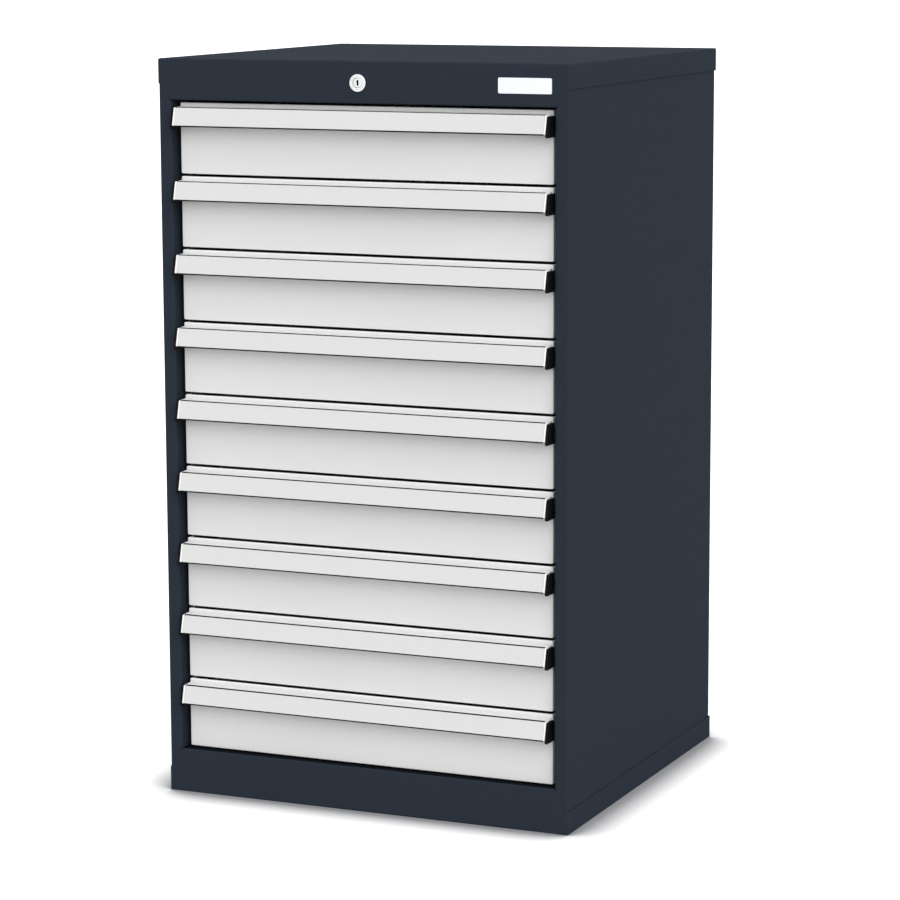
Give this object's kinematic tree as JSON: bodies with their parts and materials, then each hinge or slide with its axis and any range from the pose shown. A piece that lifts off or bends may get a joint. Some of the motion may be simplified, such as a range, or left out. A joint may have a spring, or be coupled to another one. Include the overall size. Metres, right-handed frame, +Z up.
{
  "type": "drawer cabinet",
  "caption": "Tall steel workshop drawer cabinet with equal full-width drawers, a handle ledge on each, full-extension slides and a central lock in the header.",
  "frame": {"origin": "on the floor, in the middle of the whole box in X and Y, handles included", "axes": "+Z up, the drawers open towards -Y, +X to the right of someone facing the front"},
  "size_m": [0.6, 0.59, 1.02],
  "materials": {
    "housing_paint": "satin",
    "drawer_paint": "satin",
    "handle_paint": "satin",
    "end_cap_plastic": "matte",
    "zinc_steel": "satin",
    "pale_metal": "satin",
    "lock_chrome": "polished"
  },
  "bodies": {
    "cabinet": {"base_pan": "housing_paint", "top_cover": "housing_paint", "right_side_panel": "housing_paint", "left_side_panel": "housing_paint", "back_panel": "housing_paint", "right_runner_wall": "housing_paint", "left_runner_wall": "housing_paint", "right_rail_frame": "zinc_steel", "left_rail_frame": "zinc_steel", "blank_plate": "pale_metal", "lock_barrel": "lock_chrome", "lock_nut": "zinc_steel"},
    "lock": {"lock_plug": "lock_chrome", "lock_cam": "zinc_steel"},
    "lock_bar": {"lock_bar": "zinc_steel"},
    "drawer_1": {"drawer_1_tray": "drawer_paint", "drawer_1_front": "drawer_paint", "drawer_1_handle": "handle_paint"},
    "drawer_1_slides": {"drawer_1_right_slide": "zinc_steel", "drawer_1_left_slide": "zinc_steel"},
    "drawer_2": {"drawer_2_tray": "drawer_paint", "drawer_2_front": "drawer_paint", "drawer_2_handle": "handle_paint"},
    "drawer_2_slides": {"drawer_2_right_slide": "zinc_steel", "drawer_2_left_slide": "zinc_steel"},
    "drawer_3": {"drawer_3_tray": "drawer_paint", "drawer_3_front": "drawer_paint", "drawer_3_handle": "handle_paint"},
    "drawer_3_slides": {"drawer_3_right_slide": "zinc_steel", "drawer_3_left_slide": "zinc_steel"},
    "drawer_4": {"drawer_4_tray": "drawer_paint", "drawer_4_front": "drawer_paint", "drawer_4_handle": "handle_paint"},
    "drawer_4_slides": {"drawer_4_right_slide": "zinc_steel", "drawer_4_left_slide": "zinc_steel"},
    "drawer_5": {"drawer_5_tray": "drawer_paint", "drawer_5_front": "drawer_paint", "drawer_5_handle": "handle_paint"},
    "drawer_5_slides": {"drawer_5_right_slide": "zinc_steel", "drawer_5_left_slide": "zinc_steel"},
    "drawer_6": {"drawer_6_tray": "drawer_paint", "drawer_6_front": "drawer_paint", "drawer_6_handle": "handle_paint"},
    "drawer_6_slides": {"drawer_6_right_slide": "zinc_steel", "drawer_6_left_slide": "zinc_steel"},
    "drawer_7": {"drawer_7_tray": "drawer_paint", "drawer_7_front": "drawer_paint", "drawer_7_handle": "handle_paint"},
    "drawer_7_slides": {"drawer_7_right_slide": "zinc_steel", "drawer_7_left_slide": "zinc_steel"},
    "drawer_8": {"drawer_8_tray": "drawer_paint", "drawer_8_front": "drawer_paint", "drawer_8_handle": "handle_paint"},
    "drawer_8_slides": {"drawer_8_right_slide": "zinc_steel", "drawer_8_left_slide": "zinc_steel"},
    "drawer_9": {"drawer_9_tray": "drawer_paint", "drawer_9_front": "drawer_paint", "drawer_9_handle": "handle_paint"},
    "drawer_9_slides": {"drawer_9_right_slide": "zinc_steel", "drawer_9_left_slide": "zinc_steel"}
  },
  "joints": [
    {"name": "drawer_1_pull", "type": "slide", "parent": "cabinet", "child": "drawer_1", "axis": [0, -1, 0], "range_m": [0, 0.5]},
    {"name": "drawer_1_slides_run", "type": "slide", "parent": "cabinet", "child": "drawer_1_slides", "axis": [0, -1, 0], "range_m": [0, 0.25]},
    {"name": "drawer_2_pull", "type": "slide", "parent": "cabinet", "child": "drawer_2", "axis": [0, -1, 0], "range_m": [0, 0.5]},
    {"name": "drawer_2_slides_run", "type": "slide", "parent": "cabinet", "child": "drawer_2_slides", "axis": [0, -1, 0], "range_m": [0, 0.25]},
    {"name": "drawer_3_pull", "type": "slide", "parent": "cabinet", "child": "drawer_3", "axis": [0, -1, 0], "range_m": [0, 0.5]},
    {"name": "drawer_3_slides_run", "type": "slide", "parent": "cabinet", "child": "drawer_3_slides", "axis": [0, -1, 0], "range_m": [0, 0.25]},
    {"name": "drawer_4_pull", "type": "slide", "parent": "cabinet", "child": "drawer_4", "axis": [0, -1, 0], "range_m": [0, 0.5]},
    {"name": "drawer_4_slides_run", "type": "slide", "parent": "cabinet", "child": "drawer_4_slides", "axis": [0, -1, 0], "range_m": [0, 0.25]},
    {"name": "drawer_5_pull", "type": "slide", "parent": "cabinet", "child": "drawer_5", "axis": [0, -1, 0], "range_m": [0, 0.5]},
    {"name": "drawer_5_slides_run", "type": "slide", "parent": "cabinet", "child": "drawer_5_slides", "axis": [0, -1, 0], "range_m": [0, 0.25]},
    {"name": "drawer_6_pull", "type": "slide", "parent": "cabinet", "child": "drawer_6", "axis": [0, -1, 0], "range_m": [0, 0.5]},
    {"name": "drawer_6_slides_run", "type": "slide", "parent": "cabinet", "child": "drawer_6_slides", "axis": [0, -1, 0], "range_m": [0, 0.25]},
    {"name": "drawer_7_pull", "type": "slide", "parent": "cabinet", "child": "drawer_7", "axis": [0, -1, 0], "range_m": [0, 0.5]},
    {"name": "drawer_7_slides_run", "type": "slide", "parent": "cabinet", "child": "drawer_7_slides", "axis": [0, -1, 0], "range_m": [0, 0.25]},
    {"name": "drawer_8_pull", "type": "slide", "parent": "cabinet", "child": "drawer_8", "axis": [0, -1, 0], "range_m": [0, 0.5]},
    {"name": "drawer_8_slides_run", "type": "slide", "parent": "cabinet", "child": "drawer_8_slides", "axis": [0, -1, 0], "range_m": [0, 0.25]},
    {"name": "drawer_9_pull", "type": "slide", "parent": "cabinet", "child": "drawer_9", "axis": [0, -1, 0], "range_m": [0, 0.5]},
    {"name": "drawer_9_slides_run", "type": "slide", "parent": "cabinet", "child": "drawer_9_slides", "axis": [0, -1, 0], "range_m": [0, 0.25]},
    {"name": "lock_bar_lift", "type": "slide", "parent": "cabinet", "child": "lock_bar", "axis": [0, 0, 1], "range_m": [0, 0.01414]},
    {"name": "lock_turn", "type": "hinge", "parent": "cabinet", "child": "lock", "pos_m": [0, -0.28, 0.9915], "axis": [0, -1, 0], "range_deg": [0, 90]}
  ],
  "couplings": [
    {"joint": "drawer_1_slides_run", "follows": "drawer_1_pull", "ratio": 0.5},
    {"joint": "drawer_2_slides_run", "follows": "drawer_2_pull", "ratio": 0.5},
    {"joint": "drawer_3_slides_run", "follows": "drawer_3_pull", "ratio": 0.5},
    {"joint": "drawer_4_slides_run", "follows": "drawer_4_pull", "ratio": 0.5},
    {"joint": "drawer_5_slides_run", "follows": "drawer_5_pull", "ratio": 0.5},
    {"joint": "drawer_6_slides_run", "follows": "drawer_6_pull", "ratio": 0.5},
    {"joint": "drawer_7_slides_run", "follows": "drawer_7_pull", "ratio": 0.5},
    {"joint": "drawer_8_slides_run", "follows": "drawer_8_pull", "ratio": 0.5},
    {"joint": "drawer_9_slides_run", "follows": "drawer_9_pull", "ratio": 0.5},
    {"joint": "lock_turn", "follows": "lock_bar_lift", "rad_per_m": 111.07}
  ]
}
